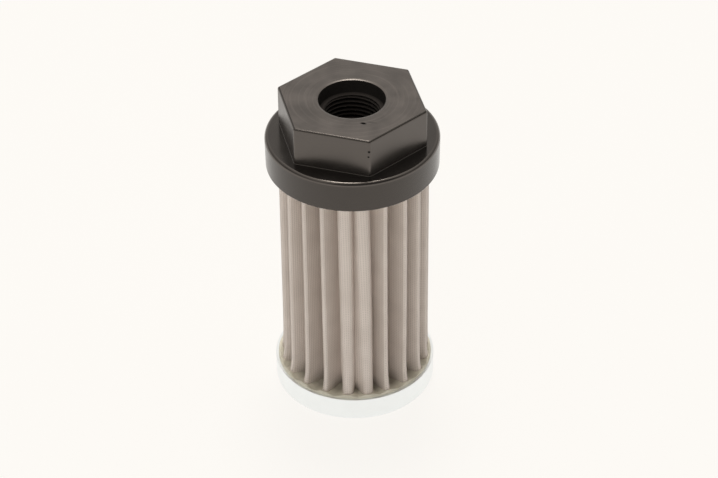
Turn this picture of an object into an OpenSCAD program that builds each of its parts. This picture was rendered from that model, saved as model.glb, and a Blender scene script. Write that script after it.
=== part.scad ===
// Suction strainer for a hydraulic tank: a moulded hex head with a threaded port,
// a pleated wire-cloth pack round a perforated support tube, and a pressed steel end cap.
// The pack is bonded into a trough in the head and into the cup of the cap.
// The axis is Z. The underside of the end cap is at Z = 0 and the port opens upwards.

/* [Overall] */
// Height from the underside of the end cap to the top of the hex
overall_h = 93; // [75:1:160]

/* [Head] */
// Hex size across the flats
hex_af = 36; // [30:1:38]
// Height of the hex above the flange
hex_h = 11; // [8:0.5:16]
// Rounding of the upright hex corners
hex_corner_r = 0.7; // [0.4:0.1:2.5]
// Bevel along the top edges of the hex
hex_bevel = 0.5; // [0.2:0.1:1]
// Height of the flange, from its top face to the lower edge of the skirt
flange_h = 9; // [7:0.5:14]
// Thickness of the flange plate above the trough
flange_plate_t = 3; // [2:0.25:4]
// Rounding of the flange's top edge
flange_edge_r = 1; // [0.3:0.1:1.8]
// Draft of the flange's outer wall, in degrees
flange_draft = 1; // [0.5:0.25:3]
// Wall of the skirt at its lower edge
skirt_t = 2.36; // [1.5:0.1:4]
// Gap between the pleat tips and the inside of the skirt
skirt_gap = 0.9; // [0.5:0.1:2]
// Wall of the spigot that locates the support tube
spigot_t = 2.6; // [1.5:0.1:3.5]

/* [Port] */
// Diameter of the smooth lead-in above the thread
lead_in_d = 18; // [16.8:0.1:22]
// Depth of the lead-in
lead_in_depth = 3.8; // [2:0.1:5]
// Bevel round the mouth of the port
mouth_bevel = 0.4; // [0.1:0.1:1]
// Minor diameter of the port thread, G 3/8
thread_minor_d = 14.95; // [13:0.05:16]
// Length of the port thread
thread_len = 12; // [8:0.5:13]

/* [Pleated pack] */
// Number of pleats
pleats = 21; // [16:1:24]
// Diameter over the pleat tips
pack_d = 40.2; // [38:0.2:50]
// Thickness of the wire cloth
cloth_t = 0.4; // [0.2:0.05:0.6]
// Fold radius at a pleat tip, at the middle of the cloth
tip_r = 0.7; // [0.35:0.05:1.2]
// Fold radius at a pleat root, at the middle of the cloth
root_r = 0.5; // [0.35:0.05:0.8]
// Turn of the first pleat tip from the X axis, in degrees
pleat_turn = 4.7; // [0:0.1:17]

/* [Support tube] */
// Outside diameter of the support tube
tube_d = 24; // [22:0.25:26]
// Wall of the support tube
tube_t = 0.8; // [0.5:0.1:1.2]
// Diameter of the perforations
hole_d = 5; // [3:0.25:6]
// Number of perforations in a row round the tube
holes_round = 8; // [6:1:10]
// Distance between rows of perforations
hole_row_pitch = 7; // [6.5:0.25:12]
// Gap between the pleat roots and the tube
tube_gap = 0.3; // [0.1:0.05:0.6]

/* [End cap] */
// Height of the end cap
cap_h = 7.5; // [5:0.5:12]
// Thickness of the cap's sheet steel
cap_t = 0.8; // [0.5:0.1:1.2]
// Outside radius of the bend at the foot of the cap
cap_bend_r = 1.8; // [1.4:0.1:3]
// Gap between the pleat tips and the inside of the cap
cap_gap = 1.35; // [0.8:0.05:2]

/* [Bond] */
// Height of the cap's rim above the bond
rim_lip = 1.2; // [0.5:0.1:2]
// Depth of the bond's lower face inside the skirt
skirt_lip = 2; // [0.5:0.1:3]
// Film of bond between the ends of the cloth and what holds them
bond_film = 0.4; // [0.2:0.05:0.8]

/* [Hidden] */
$fn = 96;
fit = 0.02;          // clearance of what is bonded or bent round another piece
spigot_fit = 0.1;    // clearance of the tube on the spigot
over = 1;            // how far a cutter runs past the face that it cuts
tie = 0.01;          // how far a stacked solid reaches into its neighbour, to join it
crown = 0.01;        // how far a rounding stands out of the faces beside it, so that they cross

// Levels along the axis
flange_top_z = overall_h - hex_h;
skirt_z = flange_top_z - flange_h;
trough_roof_z = flange_top_z - flange_plate_t;
lead_in_z = overall_h - lead_in_depth;
thread_end_z = lead_in_z - thread_len;
cap_floor_z = cap_t;
lower_bond_z = cap_h - rim_lip;
upper_bond_z = skirt_z + skirt_lip;
cloth_z0 = cap_floor_z + bond_film;
cloth_z1 = trough_roof_z - bond_film;

// Radii
pack_r = pack_d / 2;
tube_r = tube_d / 2;
skirt_in_r = pack_r + skirt_gap;
skirt_r = skirt_in_r + skirt_t;
flange_r = skirt_r + (flange_h - flange_edge_r) * tan(flange_draft);
spigot_r = tube_r - tube_t - spigot_fit;
flow_r = spigot_r - spigot_t;
cap_in_r = pack_r + cap_gap;
cap_r = cap_in_r + cap_t;

// Folds: the tips and the roots are arcs on two circles of centres, half a pitch apart
pitch = 360 / pleats;
tip_centre_r = pack_r - cloth_t / 2 - tip_r;
root_centre_r = tube_r + tube_gap + cloth_t / 2 + root_r;
tip_to_root = [root_centre_r * cos(pitch / 2) - tip_centre_r, root_centre_r * sin(pitch / 2)];
// Half the sweep of a tip arc: the flank is the line that touches a tip arc and a root arc
tip_sweep = atan2(tip_to_root.y, tip_to_root.x) - acos((tip_r + root_r) / norm(tip_to_root));
root_sweep = tip_sweep - pitch / 2;

function polar(r, a) = [r * cos(a), r * sin(a)];

// Points where the flanks touch the arcs of the tips and roots, a distance of side out of the cloth's middle
function flank_points(side) = [
    for (i = [0 : pleats - 1])
        let (tip_a = i * pitch, root_a = tip_a + pitch / 2)
        each concat(
            [for (end = [-1, 1])
                polar(tip_centre_r, tip_a) + polar(tip_r + side, tip_a + end * tip_sweep)],
            [for (end = [1, -1])
                polar(root_centre_r, root_a) + polar(root_r - side, root_a + 180 + end * root_sweep)])
];

// Area inside the folded cloth, up to a line that lies a distance of side out of the cloth's middle
module fold_area(side) {
    difference() {
        union() {
            polygon(flank_points(side));
            for (i = [0 : pleats - 1])
                rotate(i * pitch) translate([tip_centre_r, 0]) circle(tip_r + side + crown);
        }
        for (i = [0 : pleats - 1])
            rotate((i + 0.5) * pitch) translate([root_centre_r, 0]) circle(root_r - side + crown);
    }
}

// Section of the folded cloth, grown by extra on both faces
module cloth_section(extra = 0) {
    half_t = cloth_t / 2 + extra;
    rotate(pleat_turn) difference() {
        fold_area(half_t);
        fold_area(-half_t);
    }
}

// Half section of a solid disc with a rounded lower edge, for revolving
module disc_section(r, h, edge_r) {
    square([r - edge_r, h]);
    translate([0, edge_r]) square([r, h - edge_r]);
    translate([r - edge_r, edge_r]) circle(edge_r);
}

// Hexagon with rounded corners, a corner on the X axis
module hex_section(af, corner_r) {
    centre_r = (af / 2 - corner_r) / cos(30);
    polygon([for (k = [0 : 5], end = [-1, 1]) polar(centre_r, 60 * k) + polar(corner_r, 60 * k + 30 * end)]);
    for (k = [0 : 5]) translate(polar(centre_r, 60 * k)) circle(corner_r + crown);
}

// Half section of the flange: a plate with a rounded edge and a drafted skirt round its trough
module flange_section() {
    edge_z = flange_top_z - flange_edge_r;
    difference() {
        union() {
            polygon([[0, skirt_z], [skirt_r, skirt_z], [flange_r - crown, edge_z],
                     [flange_r - flange_edge_r, flange_top_z], [0, flange_top_z]]);
            translate([flange_r - flange_edge_r, edge_z]) circle(flange_edge_r);
        }
        translate([spigot_r, skirt_z - over])
            square([skirt_in_r - spigot_r, trough_roof_z - skirt_z + over]);
    }
}

// Hex block with bevels along its top edges, cut one edge after another
module bevelled_hex(edges = 6) {
    reach = 4 * hex_bevel;
    if (edges == 0)
        translate([0, 0, flange_top_z - tie])
            linear_extrude(hex_h + tie) hex_section(hex_af, hex_corner_r);
    else
        difference() {
            bevelled_hex(edges - 1);
            rotate(30 + 60 * edges)
                translate([hex_af / 2 - hex_bevel, 0, overall_h])
                    rotate([0, 45, 0])
                        translate([-reach, -hex_af, 0]) cube([2 * reach, 2 * hex_af, reach]);
        }
}

// Half section of the port: bevelled mouth, smooth lead-in, thread at its minor diameter, flow bore
module port_section() {
    lead_in_r = lead_in_d / 2;
    thread_r = thread_minor_d / 2;
    polygon([[0, skirt_z - over], [flow_r, skirt_z - over], [flow_r, thread_end_z],
             [thread_r, thread_end_z], [thread_r, lead_in_z], [lead_in_r, lead_in_z],
             [lead_in_r, overall_h - mouth_bevel], [lead_in_r + mouth_bevel + over, overall_h + over],
             [0, overall_h + over]]);
}

module head() {
    color("#2e2b29") difference() {
        union() {
            rotate_extrude() flange_section();
            bevelled_hex();
        }
        rotate_extrude() port_section();
    }
}

module pleated_mesh() {
    color("#a89c90")
        translate([0, 0, cloth_z0])
            linear_extrude(cloth_z1 - cloth_z0) cloth_section();
}

module support_tube() {
    first_row_z = lower_bond_z + hole_row_pitch / 2;
    rows = floor((upper_bond_z - lower_bond_z) / hole_row_pitch);
    color("#b9bcbc") difference() {
        translate([0, 0, cap_floor_z])
            cylinder(h = trough_roof_z - cap_floor_z, r = tube_r);
        translate([0, 0, cap_floor_z - over])
            cylinder(h = trough_roof_z - cap_floor_z + 2 * over, r = tube_r - tube_t);
        for (row = [0 : rows - 1], k = [0 : holes_round - 1])
            translate([0, 0, first_row_z + row * hole_row_pitch])
                rotate((k + (row % 2) / 2) * 360 / holes_round)
                    translate([tube_r - tube_t - over, 0, 0])
                        rotate([0, 90, 0]) cylinder(h = tube_t + 2 * over, d = hole_d);
    }
}

module end_cap() {
    color("#d9dedf") rotate_extrude() difference() {
        disc_section(cap_r, cap_h, cap_bend_r);
        translate([0, cap_floor_z])
            disc_section(cap_in_r, cap_h + over, cap_bend_r - cap_t);
    }
}

// Bond in the trough of the head, moulded round the ends of the cloth and the tube
module upper_bond() {
    depth = trough_roof_z - upper_bond_z;
    color("#a59b7c") translate([0, 0, upper_bond_z]) difference() {
        linear_extrude(depth) difference() {
            circle(skirt_in_r - fit);
            circle(tube_r + fit);
        }
        translate([0, 0, -over])
            linear_extrude(depth - bond_film + fit + over) cloth_section(fit);
    }
}

// Bond in the cup of the cap, round the lower ends of the cloth and the tube
module lower_bond() {
    color("#a59b7c") difference() {
        translate([0, 0, cap_floor_z]) rotate_extrude()
            disc_section(cap_in_r - fit, lower_bond_z - cap_floor_z, cap_bend_r - cap_t);
        translate([0, 0, cap_floor_z - over])
            cylinder(h = cap_h + 2 * over, r = tube_r + fit);
        translate([0, 0, cloth_z0 - fit]) linear_extrude(cap_h) cloth_section(fit);
    }
}

head();
pleated_mesh();
support_tube();
end_cap();
upper_bond();
lower_bond();
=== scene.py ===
import math

import bmesh
import bpy
from mathutils import Matrix, Vector, kdtree


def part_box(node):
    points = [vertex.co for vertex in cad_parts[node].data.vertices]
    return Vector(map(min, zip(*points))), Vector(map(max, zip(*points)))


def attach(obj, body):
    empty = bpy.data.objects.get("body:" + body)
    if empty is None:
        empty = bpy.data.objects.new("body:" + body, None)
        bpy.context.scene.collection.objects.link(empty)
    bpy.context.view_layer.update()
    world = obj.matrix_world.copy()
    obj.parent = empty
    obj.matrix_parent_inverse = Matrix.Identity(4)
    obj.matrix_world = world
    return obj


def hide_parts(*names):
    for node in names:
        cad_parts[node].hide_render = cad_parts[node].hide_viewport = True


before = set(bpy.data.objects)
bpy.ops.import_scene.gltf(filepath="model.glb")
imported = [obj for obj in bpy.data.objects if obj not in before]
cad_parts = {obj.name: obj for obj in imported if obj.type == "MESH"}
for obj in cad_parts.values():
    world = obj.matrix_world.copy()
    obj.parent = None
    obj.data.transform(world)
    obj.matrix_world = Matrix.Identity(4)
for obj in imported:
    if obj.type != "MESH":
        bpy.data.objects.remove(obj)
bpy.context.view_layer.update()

MM = 0.001

# Points this close together are merged
SAME_POINT = 0.001 * MM
# A cut goes through points this close to it
ON_CUT = 0.0001 * MM
# A point this near to a circle or a face lies on it
NEAR = 0.01 * MM

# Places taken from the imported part
head_low, head_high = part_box("head")
pack_low, pack_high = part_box("pleated_mesh")
upper_low, upper_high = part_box("upper_bond")
lower_low, lower_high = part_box("lower_bond")
top_z = head_high.z
skirt_z = head_low.z
flange_r = head_high.x
trough_roof_z = upper_high.z
trough_r = upper_high.x
tube_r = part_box("support_tube")[1].x
cap_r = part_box("end_cap")[1].x
cap_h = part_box("end_cap")[1].z

# Head
HEX_AF = 36 * MM
HEX_H = 11 * MM
HEX_CORNER_R = 0.7 * MM
HEX_TOP_ROUND = 0.65 * MM
HEX_FOOT_FILLET = 0.15 * MM
SKIRT_R = 23.36 * MM
RIM_ROUND = 1.0 * MM
SKIRT_ROUND = 0.3 * MM
TOP_MARK_R = 12.4 * MM
LEAD_IN_R = 9.0 * MM
LEAD_IN_DEPTH = 3.8 * MM
MOUTH_ROUND = 0.1 * MM
MOUTH_EDGE_R = 9.65 * MM
MOUTH_SINK = 0.15 * MM
SPIGOT_R = 11.1 * MM
FLOW_R = 8.5 * MM
flange_z = top_z - HEX_H
ledge_z = top_z - LEAD_IN_DEPTH

# Port thread, G 3/8
THREAD_MAJOR_R = 8.331 * MM
THREAD_MINOR_R = 7.475 * MM
THREAD_PITCH = 1.337 * MM
THREAD_LEN = 12 * MM
THREAD_CREST = 0.3 * MM
THREAD_FOOT = 0.94 * THREAD_PITCH
THREAD_SUNK = 0.05 * MM
THREAD_STEPS = 72
LIP_R = 7.6 * MM
LIP_T = 0.3 * MM
lip_z = ledge_z - LIP_T
thread_end_z = ledge_z - THREAD_LEN

# Points round the head: six rounded corners and six flats
CORNER_STEPS = 6
FLAT_CUTS = 25
RING_POINTS = 6 * (CORNER_STEPS + FLAT_CUTS + 1)
# The rings of the head are made this far apart, in metres, so that no two lie on each other
RING_GAP = 1.0

# Faces across a rounding
FINE_STEPS = 3
CAP_RIM_STEPS = 4
ROUND_STEPS = 5
INNER_BEND_STEPS = 6
BROAD_STEPS = 8

# Folded cloth
PLEATS = 21
PITCH = 2 * math.pi / PLEATS
PLEAT_TURN = math.radians(4.7)
PACK_R = 20.1 * MM
CLOTH_T = 0.4 * MM
TIP_R = 0.5 * MM
ROOT_R = 0.5 * MM
ROOT_GAP = 0.3 * MM
TIP_STEPS = 10
ROOT_STEPS = 6
FLANK_STEPS = 5
CLOTH_ROWS = 44
ROWS_EVEN = 0.35
WIRE_PITCH = 0.6 * MM
root_centre_r = tube_r + ROOT_GAP + CLOTH_T / 2 + ROOT_R

# How far the folds wander, in degrees: they lean towards the foot, bow half way down or stand aside
TIP_WANDER = 0.8
TIP_BOW = 0.5
ROOT_WANDER = 1.2
LEANING_TIPS = {14: 0.1, 15: 1.6, 16: 1.6, 17: 3.5}
SHIFTED_TIPS = {14: 0.6, 15: 0.5, 16: 1.2, 17: -1.7, 18: -0.4, 19: 0.6, 20: 0.6}
SHIFTED_ROOTS = {14: 1.2, 15: 2.6, 17: -1.5}

# Waves that make the wander differ from fold to fold, in radians, and the share of it that all roots have
TIP_WAVE = 1.9
BOW_WAVE = 2.7
BOW_PHASE = 1.0
ROOT_WAVE = 2.3
ROOT_PHASE = 0.5
ROOT_COMMON = 0.4

# Folds that are fuller or shallower than the rest, by number
FULL_TIPS = {16: 1.85 * MM, 17: 1.9 * MM}
FULL_TAPER = 0.36
SHALLOW_ROOTS = {15: 2.4 * MM, 16: 4.9 * MM, 17: 3.0 * MM}
ROOT_DEEPENS = 0.45
SHARP_ROOTS = {16: 0.22 * MM}

# Swell of the pack to the right of its front
FRONT_ANGLE = math.radians(-72.4)
SWELL_ANGLE = FRONT_ANGLE + math.radians(90)
PACK_SWELL = 0.6 * MM

# Spread of the folds at the foot, with their lean in degrees
FOOT_FLARE = 1.2 * MM
FOOT_WIDEN = 0.45 * MM
FOOT_REACH = 2.6 * MM
FOOT_LEAN = 3.0

# End cap
CAP_T = 0.8 * MM
CAP_BEND_R = 1.8 * MM
CAP_RIM_ROUND = 0.12 * MM
CAP_STEPS = 160

# Bond
BOND_STEPS = PLEATS * 24
BOND_ACROSS = 18
BOND_GAP = 0.02 * MM
CREEP_UP_CLOTH = 1.1 * MM
CREEP_UP_WALL = 1.15 * MM
CREEP_REACH = 1.7 * MM

# Band of the noise over which a cloudy finish goes from one tone to the other
CLOUD_LOW = 0.3
CLOUD_HIGH = 0.7

# Black nylon: its tones, and what each part of the head and each mark adds. In the port the sheen is cut,
# which is painted shade in the bore, and the colour is made lighter, which is painted light on its walls
NYLON_DARK = (0.0085, 0.0078, 0.0072)
NYLON_LIGHT = (0.013, 0.012, 0.011)
NYLON_SCUFF_AND_BORE_LIGHT = (0.078, 0.068, 0.062)
NYLON_NICK_SHADE = (0.002, 0.002, 0.002)
NYLON_GLINT = (1.0, 0.89, 0.81)
NYLON_IOR = 1.6
NYLON_SHEEN = 0.62
NYLON_ROUGH = (0.16, 0.22)
NYLON_CLOUDS = 160
NYLON_GRAIN = 2600
NYLON_RELIEF = 0.02 * MM
MOTTLE_BAND = (0.32, 0.68)
MOTTLE_SCUFF = (0.25, 0.75)
SCUFF_AND_BORE_LIGHT_ADDS = {"swirls": 0.55, "faced": 0.3, "mottle": 1.0, "side": 0.06, "port": 0.15, "thread": 0.45}
ROUGH_ADDS = {"top": 0.12, "side": 0.12, "rim": -0.04, "port": 0.3, "nick_and_shade": 0.4}
SHEEN_ADDS = {"side": 0.38, "rim": 0.38, "top": 0.13, "port": -0.52}
RELIEF_ADDS = {"grain": 0.25, "nick_and_shade": -2.0, "faced": -0.3}

# Where the finish of the head changes, from the edges of its parts
TOP_MARGIN = 0.02 * MM
SIDE_TOP_MARGIN = 0.3 * MM
SIDE_FOOT_MARGIN = 0.2 * MM
PORT_MARGIN = 0.05 * MM
THREAD_MARGIN = 0.2 * MM

# Turning marks on the top face: their scale outwards and round the axis, and the edge of the faced ring
SWIRL_PITCH = 0.45 * MM
SWIRL_ROUND = 0.9
SWIRL_BAND = (0.5, 0.75)
FACED_EDGE = 0.3 * MM
FACED_CORE = 0.05 * MM

# Handling marks, where the photograph shows them, with their half sizes and the share that is fully dark;
# they are small dents, with painted shade in them
TOP_NICK = Vector((6.3, -10.25, 93.0)) * MM
TOP_NICK_SIZE = Vector((1.15, 0.65, 0.4)) * MM
NICK_TAIL = Vector((8.2, -9.2, 93.0)) * MM
NICK_TAIL_SIZE = Vector((1.8, 0.45, 0.4)) * MM
NICK_TAIL_SHARE = 0.35
NICK_CORE = 0.4
EDGE_NICKS = (
    (Vector((10.15, -17.9, 89.8)) * MM, 0.45 * MM),
    (Vector((10.0, -17.95, 88.2)) * MM, 0.35 * MM),
)

# Wire cloth, with painted shade on it low in the valleys at the foot
STEEL_DARK = (0.67, 0.602, 0.556)
STEEL_LIGHT = (0.745, 0.675, 0.628)
# Painted shade in the openings of the weave, where the wires are low
CLOTH_OPENING_SHADE = (0.47, 0.422, 0.38)
OPENING_SHADE_BAND = (0.45, 0.8)
OPENING_SHADE_SHARE = 0.75
CLOTH_METAL = 0.25
CLOTH_ROUGH = 0.45
CLOTH_CLOUDS = 120
WIRE_RELIEF = 0.1 * MM
WIRE_DIP = 0.5
CLOTH_FOOT_SHADE = (0.23, 0.20, 0.17)
FOOT_SHADE_SHARE = 0.5
FOOT_SHADE_IN_R = 17.4 * MM
FOOT_SHADE_OUT_R = 19.6 * MM
FOOT_SHADE_LOW = 1 * MM
FOOT_SHADE_HIGH = 5 * MM

# Zinc plating
CAP_COLOUR = (0.955, 0.985, 0.99)
TUBE_COLOUR = (0.66, 0.67, 0.67)
ZINC_DARKER = 0.97
ZINC_BAND = (0.35, 0.65)
ZINC_ROUGH = (0.30, 0.36)
ZINC_CLOUDS = 220
ZINC_RELIEF = 0.02 * MM

# Cast bond, with painted shade in the valleys of the folds
BOND_DARK = (0.84, 0.805, 0.67)
BOND_LIGHT = (0.93, 0.895, 0.76)
BOND_VALLEY_SHADE = (0.21, 0.18, 0.14)
BOND_ROUGH = (0.3, 0.5)
BOND_CLOUDS = 300
BOND_RELIEF = 0.2 * MM
VALLEY_SHADE_SHARE = 0.6
VALLEY_SHADE_IN_R = 17.4 * MM
VALLEY_SHADE_OUT_R = 19.8 * MM

# Camera, fitted to the photograph
PHOTO_W = 718
FOCAL_PX = 2663.4
SENSOR_W = 36.0
VIEW_AZIMUTH = math.radians(17.57)
VIEW_ELEVATION = math.radians(36.79)
VIEW_ROLL = math.radians(-0.584)
VIEW_DISTANCE = 730.7 * MM
VIEW_CENTRE = Vector((0, 0, 48 * MM))
CENTRE_RIGHT_PX = -5.44
CENTRE_DOWN_PX = -4.11

# Floor, with the share of it that glows by itself
FLOOR_COLOUR = (0.997, 0.974, 0.936, 1)
FLOOR_GLOW = 0.88
FLOOR_HALF = 3.0
FLOOR_GAP = 0.02 * MM

# Ceiling of the room, brighter overhead and dimmer to both sides of the camera
ROOM_COLOUR = (1.0, 0.965, 0.92, 1)
CEILING_FOOT = math.radians(40)
CEILING_CROWN = math.radians(75)
CEILING_LOW = 0.68
CEILING_HIGH = 1.2
CEILING_SIDE = 0.2

# The dark side of the room, behind the camera
DARK_AZIMUTH = VIEW_AZIMUTH + math.radians(18)
DARK_ELEVATION = math.radians(30)
DARK_EDGE = math.radians(54)
DARK_CORE = math.radians(34)
DARK_LEVEL = 0.12

# The white backdrop round the horizon
BACKDROP_TOP = math.radians(8)
BACKDROP_FADE = math.radians(14)

# Lamps
LAMP_COLOUR = (1.0, 0.97, 0.92)
OVERHEAD_PLACE = Vector((-0.07, 0.22, 0.75))
OVERHEAD_WIDTH = 0.24
OVERHEAD_POWER = 1.9
FILL_PLACE = Vector((0.14, -0.86, 0.2))
FILL_WIDTH = 0.75
FILL_POWER = 2.3


def polar(radius, angle):
    return Vector((radius * math.cos(angle), radius * math.sin(angle)))


def direction(azimuth, elevation):
    """Direction from the strainer, with azimuth nought to the front and turning to the right."""
    return Vector((math.sin(azimuth) * math.cos(elevation), -math.cos(azimuth) * math.cos(elevation),
                   math.sin(elevation)))


def piece(name, bm, finish):
    """Makes an object at the origin from the bmesh and gives it its finish."""
    mesh = bpy.data.meshes.new(name)
    bm.to_mesh(mesh)
    bm.free()
    mesh.shade_smooth()
    mesh.materials.append(finish)
    made = bpy.data.objects.new(name, mesh)
    bpy.context.scene.collection.objects.link(made)
    return made


def seat(made, node):
    """Lets a piece stand for a node of the part."""
    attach(made, "root")
    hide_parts(node)


def flat_faces_first(made):
    """Takes the shading of each rounding from the flat faces beside it."""
    made.modifiers.new("flat_faces_first", "WEIGHTED_NORMAL")


def round_over(bm, edges, radius, steps=ROUND_STEPS):
    bmesh.ops.bevel(bm, geom=edges, offset=radius, offset_type="OFFSET", segments=steps, profile=0.5,
                    affect="EDGES", clamp_overlap=True, material=-1)


def new_edges(bm, known):
    return [edge for edge in bm.edges if edge not in known]


def round_ring(bm, radius, z):
    known = set(bm.edges)
    bmesh.ops.create_circle(bm, segments=RING_POINTS, radius=radius, matrix=Matrix.Translation((0, 0, z)))
    return new_edges(bm, known)


def hex_ring(bm, across_flats, z):
    """Outline of the hex with rounded corners, a corner on the X axis."""
    known = set(bm.edges)
    place = Matrix.Translation((0, 0, z)) @ Matrix.Rotation(math.radians(30), 4, "Z")
    made = bmesh.ops.create_circle(bm, segments=6, radius=across_flats / math.sqrt(3), matrix=place)
    corner = HEX_CORNER_R * math.tan(math.radians(30))
    bmesh.ops.bevel(bm, geom=made["verts"], offset=corner, offset_type="OFFSET", segments=CORNER_STEPS,
                    profile=0.5, affect="VERTICES", material=-1)
    flats = [edge for edge in new_edges(bm, known) if edge.calc_length() > across_flats / 4]
    bmesh.ops.subdivide_edges(bm, edges=flats, cuts=FLAT_CUTS)
    return new_edges(bm, known)


def closed_skin(bm, outline):
    """Bridges each ring of an outline to the next, and the last to the first, then puts them in place."""
    rings = {name: ring(bm, size, k * RING_GAP) for k, (name, ring, size, z) in enumerate(outline)}
    loops = list(rings.values())
    for here, there in zip(loops, loops[1:] + loops[:1]):
        bmesh.ops.bridge_loops(bm, edges=here + there)
    for k, (name, ring, size, z) in enumerate(outline):
        verts = list({vert for edge in rings[name] for vert in edge.verts})
        bmesh.ops.translate(bm, verts=verts, vec=(0, 0, z - k * RING_GAP))
    bmesh.ops.recalc_face_normals(bm, faces=bm.faces)
    return rings


def turned(bm, outline, steps, closed):
    """Spins an outline of (radius, height) points round the axis."""
    verts = [bm.verts.new((r, 0, z)) for r, z in outline]
    pairs = list(zip(verts, verts[1:]))
    if closed:
        pairs.append((verts[-1], verts[0]))
    edges = [bm.edges.new(pair) for pair in pairs]
    bmesh.ops.spin(bm, geom=verts + edges, cent=(0, 0, 0), axis=(0, 0, 1), angle=2 * math.pi, steps=steps,
                   use_merge=True)
    bmesh.ops.remove_doubles(bm, verts=bm.verts, dist=SAME_POINT)
    bmesh.ops.recalc_face_normals(bm, faces=bm.faces)


def hoop(bm, radius, z):
    """Edges of a turned mesh that lie on one circle."""
    on_it = {v for v in bm.verts if abs(v.co.z - z) < NEAR and abs(v.co.xy.length - radius) < NEAR}
    return [edge for edge in bm.edges if edge.verts[0] in on_it and edge.verts[1] in on_it]


def cut_level(bm, faces, z, outward):
    """Cuts faces off above a height where outward is 1, or below it for -1, and closes the cut."""
    geom = list({part for face in faces for part in (*face.verts, *face.edges, face)})
    cut = bmesh.ops.bisect_plane(bm, geom=geom, dist=ON_CUT, plane_co=(0, 0, z), plane_no=(0, 0, outward),
                                 clear_outer=True)
    rim = [part for part in cut["geom_cut"] if isinstance(part, bmesh.types.BMEdge)]
    bmesh.ops.edgeloop_fill(bm, edges=rim)


def thread_ridge(bm):
    """Helical ridge of the port thread, cut off level inside the lip and at the end of the thread."""
    known = set(bm.faces)
    sunk_r = THREAD_MAJOR_R + THREAD_SUNK
    start_z = ledge_z + THREAD_PITCH
    section = ((sunk_r, THREAD_FOOT / 2), (THREAD_MINOR_R, THREAD_CREST / 2),
               (THREAD_MINOR_R, -THREAD_CREST / 2), (sunk_r, -THREAD_FOOT / 2))
    verts = [bm.verts.new((r, 0, start_z + dz)) for r, dz in section]
    edges = [bm.edges.new(pair) for pair in zip(verts, verts[1:] + verts[:1])]
    turns = math.ceil(THREAD_LEN / THREAD_PITCH) + 2
    bmesh.ops.spin(bm, geom=verts + edges, cent=(0, 0, 0), axis=(0, 0, 1), angle=-2 * math.pi * turns,
                   steps=turns * THREAD_STEPS, dvec=(0, 0, -THREAD_PITCH / THREAD_STEPS))
    for z, outward in ((lip_z + LIP_T / 2, 1), (thread_end_z, -1)):
        cut_level(bm, [face for face in bm.faces if face not in known], z, outward)
    bmesh.ops.recalc_face_normals(bm, faces=[face for face in bm.faces if face not in known])


def head_moulding(finish):
    bm = bmesh.new()
    rings = closed_skin(bm, (
        ("skirt_foot", round_ring, SKIRT_R, skirt_z),
        ("rim", round_ring, flange_r, flange_z),
        ("hex_foot", hex_ring, HEX_AF, flange_z),
        ("hex_top", hex_ring, HEX_AF, top_z),
        ("top_mark", round_ring, TOP_MARK_R, top_z),
        ("mouth_edge", round_ring, MOUTH_EDGE_R, top_z),
        ("mouth", round_ring, LEAD_IN_R, top_z - MOUTH_SINK),
        ("ledge", round_ring, LEAD_IN_R, ledge_z),
        ("lip", round_ring, LIP_R, ledge_z),
        ("lip_foot", round_ring, LIP_R, lip_z),
        ("thread_start", round_ring, THREAD_MAJOR_R, lip_z),
        ("thread_end", round_ring, THREAD_MAJOR_R, thread_end_z),
        ("flow", round_ring, FLOW_R, thread_end_z),
        ("spigot_in", round_ring, FLOW_R, skirt_z),
        ("spigot_out", round_ring, SPIGOT_R, skirt_z),
        ("trough_in", round_ring, SPIGOT_R, trough_roof_z),
        ("trough_out", round_ring, trough_r, trough_roof_z),
        ("skirt_in", round_ring, trough_r, skirt_z),
    ))
    round_over(bm, rings["rim"], RIM_ROUND, BROAD_STEPS)
    round_over(bm, rings["hex_foot"], HEX_FOOT_FILLET)
    round_over(bm, rings["hex_top"], HEX_TOP_ROUND)
    for name in ("mouth", "mouth_edge"):
        round_over(bm, rings[name], MOUTH_ROUND, FINE_STEPS)
    for name in ("skirt_foot", "skirt_in", "spigot_in", "spigot_out"):
        round_over(bm, rings[name], SKIRT_ROUND, FINE_STEPS)
    thread_ridge(bm)
    made = piece("head_moulding", bm, finish)
    flat_faces_first(made)
    seat(made, "head")


def foot_share(z):
    """One where the cloth stands in the lower bond, fading upwards."""
    return math.exp(-max(z - lower_high.z, 0) / FOOT_REACH)


def down_share(z):
    """Nought at the head end of the cloth, one at its foot."""
    return (pack_high.z - z) / (pack_high.z - pack_low.z)


def tip_radius(i, z):
    """Radius of a fold's tip: a full one tapers towards the foot, a plain one widens there."""
    if i % PLEATS in FULL_TIPS:
        return FULL_TIPS[i % PLEATS] * (1 - FULL_TAPER * down_share(z) ** 3)
    return TIP_R + FOOT_WIDEN * foot_share(z)


def root_radius(i):
    return SHARP_ROOTS.get(i % PLEATS, ROOT_R)


def tip_centre(i, z):
    fold = i % PLEATS
    down = down_share(z)
    foot = foot_share(z)
    lean = LEANING_TIPS.get(fold, TIP_WANDER * math.sin(TIP_WAVE * fold))
    bow = TIP_BOW * math.sin(math.pi * down) * math.sin(BOW_WAVE * fold + BOW_PHASE)
    angle = PLEAT_TURN + fold * PITCH + math.radians(SHIFTED_TIPS.get(fold, 0))
    splay = FOOT_LEAN * math.sin(angle - FRONT_ANGLE)
    swell = PACK_SWELL * max(math.cos(angle - SWELL_ANGLE), 0) * (1 - foot)
    reach = PACK_R - CLOTH_T / 2 - tip_radius(i, z) + swell + FOOT_FLARE * foot
    return polar(reach, angle + math.radians(lean * down + bow + splay * foot))


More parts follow.
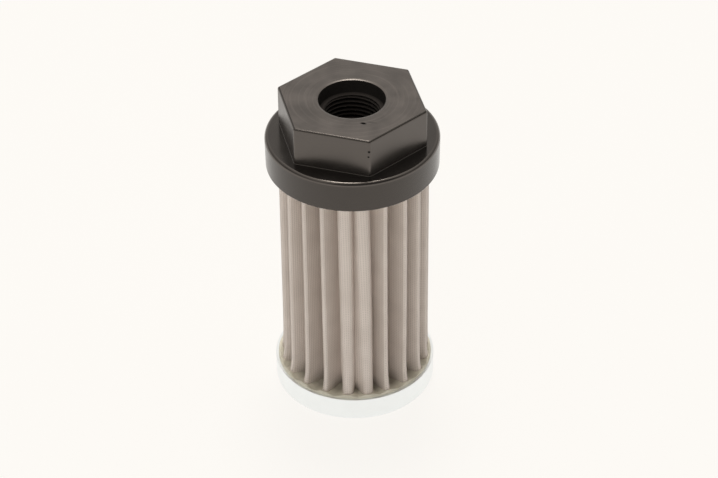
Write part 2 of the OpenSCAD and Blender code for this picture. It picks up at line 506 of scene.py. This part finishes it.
def root_centre(i, z):
    fold = i % PLEATS
    wave = math.sin(ROOT_WAVE * fold + ROOT_PHASE)
    lean = ROOT_WANDER * (ROOT_COMMON + (1 - ROOT_COMMON) * wave)
    angle = PLEAT_TURN + (fold + 0.5) * PITCH + math.radians(SHIFTED_ROOTS.get(fold, 0))
    reach = root_centre_r + SHALLOW_ROOTS.get(fold, 0) * (1 - ROOT_DEEPENS * foot_share(z))
    return polar(reach, angle + math.radians(lean * down_share(z)))


def touch_angle(tip, root, side, radii):
    """Direction from a tip's centre to where its flank leaves the arc, towards the root on that side."""
    way = root - tip
    return math.atan2(way.y, way.x) - side * math.acos(radii / way.length)


def near_angle(angle, target):
    """The same direction as angle, within half a turn of target."""
    return target + math.remainder(angle - target, 2 * math.pi)


def arc(centre, radius, start, end, steps):
    return [centre + polar(radius, start + (end - start) * k / steps) for k in range(steps + 1)]


def flank(start, end):
    """Points on the straight stretch between two arcs, without its ends."""
    return [start.lerp(end, k / FLANK_STEPS) for k in range(1, FLANK_STEPS)]


def fold_line(z):
    """Middle line of the folded cloth at one height: tip arc, flank, root arc, flank, round the axis."""
    tips = [tip_centre(i, z) for i in range(PLEATS + 1)]
    roots = [root_centre(i, z) for i in range(-1, PLEATS)]
    line = []
    for i in range(PLEATS):
        tip, root, after = tips[i], roots[i + 1], tips[i + 1]
        tip_r, root_r, after_r = tip_radius(i, z), root_radius(i), tip_radius(i + 1, z)
        outward = math.atan2(tip.y, tip.x)
        inward = math.atan2(-root.y, -root.x)
        start = near_angle(touch_angle(tip, roots[i], -1, tip_r + root_radius(i - 1)), outward)
        leave = near_angle(touch_angle(tip, root, 1, tip_r + root_r), outward)
        reach = near_angle(leave + math.pi, inward)
        meet = touch_angle(after, root, -1, after_r + root_r)
        depart = near_angle(meet + math.pi, inward)
        tip_arc = arc(tip, tip_r, start, leave, TIP_STEPS)
        root_arc = arc(root, root_r, reach, depart, ROOT_STEPS)
        line += tip_arc + flank(tip_arc[-1], root_arc[0])
        line += root_arc + flank(root_arc[-1], after + polar(after_r, meet))
    return line


def cloth_height(row):
    """Height of a row of the cloth, with rows closer together towards the foot."""
    share = row / CLOTH_ROWS
    return pack_low.z + (pack_high.z - pack_low.z) * (ROWS_EVEN * share + (1 - ROWS_EVEN) * share * share)


def measure_weave(bm):
    """Sets the cloth's UV map to wires: across the folds and up the cloth."""
    uv = bm.loops.layers.uv["weave"]
    line = fold_line((pack_low.z + pack_high.z) / 2)
    columns = len(line)
    along = [0]
    for k in range(columns):
        along.append(along[-1] + (line[(k + 1) % columns] - line[k]).length)
    for face in bm.faces:
        for loop in face.loops:
            column = round(loop[uv].uv.x * columns)
            loop[uv].uv = (along[column] / WIRE_PITCH, loop.vert.co.z / WIRE_PITCH)


def folded_cloth(finish):
    bm = bmesh.new()
    bm.loops.layers.uv.new("weave")
    lines = [fold_line(cloth_height(row)) for row in range(CLOTH_ROWS + 1)]
    columns = len(lines[0])
    bmesh.ops.create_grid(bm, x_segments=columns, y_segments=CLOTH_ROWS, size=0.5, calc_uvs=True)
    for vert in bm.verts:
        column = round((vert.co.x + 0.5) * columns) % columns
        row = round((vert.co.y + 0.5) * CLOTH_ROWS)
        vert.co = (*lines[row][column], cloth_height(row))
    measure_weave(bm)
    bmesh.ops.remove_doubles(bm, verts=bm.verts, dist=SAME_POINT)
    bmesh.ops.recalc_face_normals(bm, faces=bm.faces)
    made = piece("folded_cloth", bm, finish)
    thick = made.modifiers.new("cloth_thickness", "SOLIDIFY")
    thick.thickness = CLOTH_T
    thick.offset = 0
    seat(made, "pleated_mesh")


def creep(height, gap):
    """Rise of the bond at some gap from what it wets."""
    return height * math.exp(-gap / CREEP_REACH)


def bond_ring(name, node, finish, outer_r, face_z, back_z):
    """Cast ring of bond whose free face creeps up the cloth and the wall."""
    inner_r = tube_r + BOND_GAP
    across = [inner_r + (outer_r - inner_r) * k / BOND_ACROSS for k in range(BOND_ACROSS + 1)]
    bm = bmesh.new()
    turned(bm, [(inner_r, back_z), *((r, face_z) for r in across), (outer_r, back_z)], BOND_STEPS, True)
    line = fold_line(face_z)
    cloth = kdtree.KDTree(len(line))
    for k, point in enumerate(line):
        cloth.insert((*point, 0), k)
    cloth.balance()
    out = math.copysign(1, face_z - back_z)
    for vert in bm.verts:
        if abs(vert.co.z - face_z) < NEAR:
            cloth_gap = max(cloth.find((*vert.co.xy, 0))[2] - CLOTH_T / 2, 0)
            wall_gap = outer_r - vert.co.xy.length
            vert.co.z += out * (creep(CREEP_UP_CLOTH, cloth_gap) + creep(CREEP_UP_WALL, wall_gap))
    made = piece(name, bm, finish)
    seat(made, node)


def end_cup(finish):
    bm = bmesh.new()
    inner_r = cap_r - CAP_T
    section = [(0, 0), (cap_r, 0), (cap_r, cap_h), (inner_r, cap_h), (inner_r, CAP_T), (0, CAP_T)]
    turned(bm, section, CAP_STEPS, False)
    round_over(bm, hoop(bm, cap_r, 0), CAP_BEND_R, BROAD_STEPS)
    round_over(bm, hoop(bm, inner_r, CAP_T), CAP_BEND_R - CAP_T, INNER_BEND_STEPS)
    round_over(bm, hoop(bm, cap_r, cap_h) + hoop(bm, inner_r, cap_h), CAP_RIM_ROUND, CAP_RIM_STEPS)
    made = piece("end_cup", bm, finish)
    flat_faces_first(made)
    seat(made, "end_cap")


def support_tube(finish):
    """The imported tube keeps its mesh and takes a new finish."""
    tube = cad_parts["support_tube"]
    tube.data.materials.clear()
    tube.data.materials.append(finish)


def add(tree, kind, inputs=(), **settings):
    """Adds a shader node, with its settings, and links or sets its inputs."""
    made = tree.nodes.new(kind)
    for key, value in settings.items():
        setattr(made, key, value)
    for key, value in dict(inputs).items():
        if isinstance(value, bpy.types.NodeSocket):
            tree.links.new(value, made.inputs[key])
        else:
            made.inputs[key].default_value = value
    return made


def calc(tree, operation, a, b=0.0, c=0.0):
    return add(tree, "ShaderNodeMath", {0: a, 1: b, 2: c}, operation=operation).outputs[0]


def both(tree, a, b):
    return calc(tree, "MULTIPLY", a, b)


def over(tree, value, limit):
    return calc(tree, "GREATER_THAN", value, limit)


def under(tree, value, limit):
    return calc(tree, "LESS_THAN", value, limit)


def sum_up(tree, start, marks, adds):
    """The start value and what each named mark adds to it."""
    total = start
    for name, share in adds.items():
        total = calc(tree, "MULTIPLY_ADD", marks[name], share, total)
    return total


def number_ramp(tree, value, low, high, first, last):
    """Number that goes from first to last as value goes from low to high."""
    ends = {"From Min": low, "From Max": high, "To Min": first, "To Max": last}
    return add(tree, "ShaderNodeMapRange", {"Value": value, **ends}).outputs[0]


def clouded_number(tree, cloud, first, last):
    return number_ramp(tree, cloud, CLOUD_LOW, CLOUD_HIGH, first, last)


def tinted(tree, share, colour, tint):
    """The colour, or the tint where share is one."""
    return add(tree, "ShaderNodeMix", {"Factor": share, "A": colour, "B": (*tint, 1)},
               data_type="RGBA").outputs["Result"]


def clouded(tree, cloud, dark, light):
    """Colour that goes from dark to light with the cloud."""
    return tinted(tree, clouded_number(tree, cloud, 0.0, 1.0), (*dark, 1), light)


def noise(tree, place, scale, detail):
    made = add(tree, "ShaderNodeTexNoise", {"Vector": place, "Scale": scale, "Detail": detail})
    return made.outputs["Fac"]


def vector(tree, operation, a, b=(0, 0, 0), output="Vector"):
    return add(tree, "ShaderNodeVectorMath", {0: a, 1: b}, operation=operation).outputs[output]


def object_place(tree):
    return add(tree, "ShaderNodeTexCoord").outputs["Object"]


def height_of(tree, place):
    return add(tree, "ShaderNodeSeparateXYZ", {0: place}).outputs["Z"]


def across_axis(tree, place):
    return vector(tree, "MULTIPLY", place, (1, 1, 0))


def axis_distance(tree, place):
    return vector(tree, "LENGTH", across_axis(tree, place), output="Value")


def raise_relief(tree, shader, height, depth, strength):
    bump = add(tree, "ShaderNodeBump", {"Height": height, "Strength": strength, "Distance": depth})
    tree.links.new(bump.outputs[0], shader.inputs["Normal"])


def finish_of(name):
    """A new material with one principled shader, as (material, tree, shader)."""
    made = bpy.data.materials.new(name)
    made.use_nodes = True
    shader = made.node_tree.nodes["Principled BSDF"]
    return made, made.node_tree, shader


def spot(tree, place, centre, half_size):
    """One in the middle of an oval mark, falling to nought at its edge."""
    away = vector(tree, "DIVIDE", vector(tree, "SUBTRACT", place, centre), half_size)
    return number_ramp(tree, vector(tree, "LENGTH", away, output="Value"), 1.0, NICK_CORE, 0.0, 1.0)


def head_parts(tree, place):
    """One on each part of the head that has a look of its own, nought elsewhere."""
    radius = axis_distance(tree, place)
    height = height_of(tree, place)
    mouth = both(tree, under(tree, radius, MOUTH_EDGE_R), over(tree, height, top_z - MOUTH_SINK))
    side = both(tree, under(tree, height, top_z - SIDE_TOP_MARGIN),
                over(tree, height, flange_z + SIDE_FOOT_MARGIN))
    rim = over(tree, radius, flange_r - RIM_ROUND)
    return {
        "top": calc(tree, "MAXIMUM", over(tree, height, top_z - TOP_MARGIN), mouth),
        "side": both(tree, side, over(tree, radius, TOP_MARK_R)),
        "rim": both(tree, rim, over(tree, height, flange_z - RIM_ROUND)),
        "port": under(tree, radius, LEAD_IN_R + PORT_MARGIN),
        "thread": under(tree, radius, LEAD_IN_R - THREAD_MARGIN),
    }


def turning_marks(tree, place, on_top):
    """Marks of turning on the top face, as (swirls of noise, edge of the faced ring)."""
    radius = axis_distance(tree, place)
    heading = vector(tree, "NORMALIZE", across_axis(tree, place))
    heading = vector(tree, "MULTIPLY", heading, (SWIRL_ROUND, SWIRL_ROUND, 0))
    rings_at = add(tree, "ShaderNodeCombineXYZ", {"Z": calc(tree, "MULTIPLY", radius, 1 / SWIRL_PITCH)})
    turning = noise(tree, vector(tree, "ADD", heading, rings_at.outputs[0]), 1.0, detail=3)
    swirls = number_ramp(tree, turning, *SWIRL_BAND, 0.0, 1.0)
    from_edge = calc(tree, "ABSOLUTE", calc(tree, "SUBTRACT", radius, TOP_MARK_R))
    faced = number_ramp(tree, from_edge, FACED_EDGE, FACED_CORE, 0.0, 1.0)
    return both(tree, swirls, on_top), both(tree, faced, on_top)


# Mask of the nicks: it dents the nylon and also carries the painted shade in them
def handling_marks(tree, place):
    nick_and_shade = spot(tree, place, TOP_NICK, TOP_NICK_SIZE)
    tail = spot(tree, place, NICK_TAIL, NICK_TAIL_SIZE)
    nick_and_shade = calc(tree, "MAXIMUM", nick_and_shade, calc(tree, "MULTIPLY", tail, NICK_TAIL_SHARE))
    for centre, size in EDGE_NICKS:
        nick_and_shade = calc(tree, "MAXIMUM", nick_and_shade, spot(tree, place, centre, (size, size, size)))
    return nick_and_shade


def black_nylon():
    made, tree, shader = finish_of("black_nylon")
    place = object_place(tree)
    cloud = noise(tree, place, NYLON_CLOUDS, detail=4)
    marks = head_parts(tree, place)
    marks["swirls"], marks["faced"] = turning_marks(tree, place, marks["top"])
    marks["mottle"] = both(tree, marks["top"], number_ramp(tree, cloud, *MOTTLE_BAND, *MOTTLE_SCUFF))
    marks["nick_and_shade"] = handling_marks(tree, place)
    marks["grain"] = noise(tree, place, NYLON_GRAIN, detail=3)

    # Scuffs, and painted light in the bore: the port and thread shares make the colour there lighter
    scuff_and_bore_light = sum_up(tree, 0.0, marks, SCUFF_AND_BORE_LIGHT_ADDS)
    colour = tinted(tree, scuff_and_bore_light, clouded(tree, cloud, NYLON_DARK, NYLON_LIGHT), NYLON_SCUFF_AND_BORE_LIGHT)
    # Painted shade in the nicks: they are coloured near black
    colour = tinted(tree, marks["nick_and_shade"], colour, NYLON_NICK_SHADE)
    tree.links.new(colour, shader.inputs["Base Color"])
    rough = sum_up(tree, clouded_number(tree, cloud, *NYLON_ROUGH), marks, ROUGH_ADDS)
    tree.links.new(rough, shader.inputs["Roughness"])
    # Painted shade in the bore: the port share cuts its sheen
    sheen = sum_up(tree, NYLON_SHEEN, marks, SHEEN_ADDS)
    # Painted shade in the nicks as well: their sheen is taken away
    sheen = both(tree, sheen, calc(tree, "SUBTRACT", 1.0, marks["nick_and_shade"]))
    tree.links.new(sheen, shader.inputs["Specular IOR Level"])
    shader.inputs["IOR"].default_value = NYLON_IOR
    shader.inputs["Specular Tint"].default_value = (*NYLON_GLINT, 1)
    raise_relief(tree, shader, sum_up(tree, 0.0, marks, RELIEF_ADDS), NYLON_RELIEF, strength=0.6)
    return made


def woven_wires(tree):
    """Height of the weave, where the wires across the folds pass over and under those up the cloth."""
    weave = add(tree, "ShaderNodeUVMap", uv_map="weave").outputs["UV"]
    apart = add(tree, "ShaderNodeSeparateXYZ", {0: weave})
    across = calc(tree, "SINE", calc(tree, "MULTIPLY", apart.outputs["X"], math.pi))
    up = calc(tree, "SINE", calc(tree, "MULTIPLY", apart.outputs["Y"], math.pi))
    cross = calc(tree, "MULTIPLY", both(tree, across, up), WIRE_DIP)
    warp = calc(tree, "ADD", calc(tree, "ABSOLUTE", across), cross)
    weft = calc(tree, "SUBTRACT", calc(tree, "ABSOLUTE", up), cross)
    return calc(tree, "MAXIMUM", warp, weft)


def shaded_valley_feet(tree, place):
    """Share of painted shade on the cloth, deepest in the valleys just above the lower bond and fading
    outwards and upwards.
    """
    low_z = lower_high.z + FOOT_SHADE_LOW
    high_z = lower_high.z + FOOT_SHADE_HIGH
    inside = number_ramp(tree, axis_distance(tree, place), FOOT_SHADE_IN_R, FOOT_SHADE_OUT_R, FOOT_SHADE_SHARE, 0.0)
    return both(tree, inside, number_ramp(tree, height_of(tree, place), low_z, high_z, 1.0, 0.0))


def wire_cloth():
    made, tree, shader = finish_of("wire_cloth")
    place = object_place(tree)
    wires = woven_wires(tree)
    steel = clouded(tree, noise(tree, place, CLOTH_CLOUDS, detail=3), STEEL_DARK, STEEL_LIGHT)
    # Painted shade: the cloth is coloured darker in the openings between the wires
    opening_shade = number_ramp(tree, wires, *OPENING_SHADE_BAND, OPENING_SHADE_SHARE, 0.0)
    colour = tinted(tree, opening_shade, steel, CLOTH_OPENING_SHADE)
    # Painted shade on the cloth in the valleys at its foot
    colour = tinted(tree, shaded_valley_feet(tree, place), colour, CLOTH_FOOT_SHADE)
    tree.links.new(colour, shader.inputs["Base Color"])
    shader.inputs["Metallic"].default_value = CLOTH_METAL
    shader.inputs["Roughness"].default_value = CLOTH_ROUGH
    raise_relief(tree, shader, wires, WIRE_RELIEF, strength=0.5)
    return made


def zinc(name, colour):
    made, tree, shader = finish_of(name)
    cloud = noise(tree, object_place(tree), ZINC_CLOUDS, detail=5)
    darker = [ZINC_DARKER * c for c in colour]
    share = number_ramp(tree, cloud, *ZINC_BAND, 0.0, 1.0)
    tree.links.new(tinted(tree, share, (*darker, 1), colour), shader.inputs["Base Color"])
    tree.links.new(clouded_number(tree, cloud, *ZINC_ROUGH), shader.inputs["Roughness"])
    shader.inputs["Metallic"].default_value = 1.0
    raise_relief(tree, shader, cloud, ZINC_RELIEF, strength=0.04)
    return made


def cast_bond():
    made, tree, shader = finish_of("cast_bond")
    place = object_place(tree)
    cloud = noise(tree, place, BOND_CLOUDS, detail=4)
    radius = axis_distance(tree, place)
    # Painted shade: the bond is coloured dark brown in the valleys of the folds, where the folds shade it
    valley_shade = number_ramp(tree, radius, VALLEY_SHADE_IN_R, VALLEY_SHADE_OUT_R, VALLEY_SHADE_SHARE, 0.0)
    colour = tinted(tree, valley_shade, clouded(tree, cloud, BOND_DARK, BOND_LIGHT), BOND_VALLEY_SHADE)
    tree.links.new(colour, shader.inputs["Base Color"])
    tree.links.new(clouded_number(tree, cloud, *BOND_ROUGH), shader.inputs["Roughness"])
    raise_relief(tree, shader, cloud, BOND_RELIEF, strength=0.3)
    return made


def seen_directly(tree):
    """One where the camera, a reflection or a see-through surface looks at the background."""
    path = add(tree, "ShaderNodeLightPath")
    seen = calc(tree, "MAXIMUM", path.outputs["Is Camera Ray"], path.outputs["Is Glossy Ray"])
    return calc(tree, "MAXIMUM", seen, path.outputs["Is Transmission Ray"])


def floor_paper():
    """Pale paper that takes the shadow, and glows where it is looked at."""
    made = bpy.data.materials.new("pale_floor")
    made.use_nodes = True
    tree = made.node_tree
    tree.nodes.clear()
    share = calc(tree, "MULTIPLY", seen_directly(tree), FLOOR_GLOW)
    glow = add(tree, "ShaderNodeEmission", {"Color": FLOOR_COLOUR, "Strength": 1.0}).outputs[0]
    paper = add(tree, "ShaderNodeBsdfDiffuse", {"Color": FLOOR_COLOUR}).outputs[0]
    mixed = add(tree, "ShaderNodeMixShader", {0: share, 1: paper, 2: glow}).outputs[0]
    add(tree, "ShaderNodeOutputMaterial", {"Surface": mixed})
    return made


def pale_floor():
    bm = bmesh.new()
    place = Matrix.Translation((0, 0, -FLOOR_GAP))
    bmesh.ops.create_grid(bm, x_segments=1, y_segments=1, size=FLOOR_HALF, matrix=place)
    made = piece("pale_floor", bm, floor_paper())


def ceiling_level(tree, way, up):
    """Brightness of the ceiling, which falls towards the walls and to both sides of the camera."""
    overhead = number_ramp(tree, up, math.sin(CEILING_FOOT), math.sin(CEILING_CROWN),
                           CEILING_LOW, CEILING_HIGH)
    side = (math.cos(VIEW_AZIMUTH), math.sin(VIEW_AZIMUTH), 0)
    aside = vector(tree, "DOT_PRODUCT", way, side, "Value")
    return both(tree, overhead, number_ramp(tree, both(tree, aside, aside), 0.0, 1.0, 1.0, CEILING_SIDE))


def studio_room():
    world = bpy.data.worlds.new("studio_room")
    bpy.context.scene.world = world
    world.use_nodes = True
    tree = world.node_tree
    tree.nodes.clear()
    way = add(tree, "ShaderNodeTexCoord").outputs["Generated"]
    up = height_of(tree, way)
    towards = vector(tree, "DOT_PRODUCT", way, direction(DARK_AZIMUTH, DARK_ELEVATION), "Value")
    dark = number_ramp(tree, towards, math.cos(DARK_EDGE), math.cos(DARK_CORE), 0.0, 1.0)
    horizon = number_ramp(tree, up, math.sin(BACKDROP_TOP), math.sin(BACKDROP_FADE), 1.0, 0.0)
    backdrop = both(tree, horizon, seen_directly(tree))
    level = ceiling_level(tree, way, up)
    for share, part_level in ((dark, DARK_LEVEL), (backdrop, 1.0)):
        level = add(tree, "ShaderNodeMix", {"Factor": share, "A": level, "B": part_level}).outputs[0]
    room = add(tree, "ShaderNodeBackground", {"Color": ROOM_COLOUR, "Strength": level})
    add(tree, "ShaderNodeOutputWorld", {"Surface": room.outputs[0]})


def softbox(name, place, width, power, in_reflections=True):
    light = bpy.data.lights.new(name, "AREA")
    light.shape = "DISK"
    light.size = width
    light.energy = power
    light.color = LAMP_COLOUR
    made = bpy.data.objects.new(name, light)
    made.location = place
    made.visible_glossy = in_reflections
    made.rotation_euler = (VIEW_CENTRE - place).to_track_quat("-Z", "Y").to_euler()
    bpy.context.scene.collection.objects.link(made)


def photo_camera():
    back = direction(VIEW_AZIMUTH, VIEW_ELEVATION)
    level_turn = back.to_track_quat("Z", "Y")
    right = level_turn @ Vector((1, 0, 0))
    up = level_turn @ Vector((0, 1, 0))
    per_px = VIEW_DISTANCE / FOCAL_PX
    eye = VIEW_CENTRE + back * VIEW_DISTANCE
    aim = VIEW_CENTRE - right * CENTRE_RIGHT_PX * per_px + up * CENTRE_DOWN_PX * per_px
    turn = (eye - aim).to_track_quat("Z", "Y").to_matrix() @ Matrix.Rotation(VIEW_ROLL, 3, "Z")
    data = bpy.data.cameras.new("photo_camera")
    data.sensor_width = SENSOR_W
    data.lens = FOCAL_PX / PHOTO_W * SENSOR_W
    made = bpy.data.objects.new("photo_camera", data)
    made.location = eye
    made.rotation_euler = turn.to_euler()
    bpy.context.scene.collection.objects.link(made)
    bpy.context.scene.camera = made


photo_camera()
studio_room()
softbox("overhead_softbox", OVERHEAD_PLACE, OVERHEAD_WIDTH, OVERHEAD_POWER)
softbox("front_fill", FILL_PLACE, FILL_WIDTH, FILL_POWER, in_reflections=False)
pale_floor()

bond = cast_bond()
head_moulding(black_nylon())
folded_cloth(wire_cloth())
end_cup(zinc("cap_zinc", CAP_COLOUR))
bond_ring("lower_bond_cast", "lower_bond", bond, lower_high.x, lower_high.z, lower_low.z)
bond_ring("upper_bond_cast", "upper_bond", bond, upper_high.x, upper_low.z, upper_high.z)
support_tube(zinc("tube_zinc", TUBE_COLOUR))

bpy.context.scene.view_settings.view_transform = "Standard"
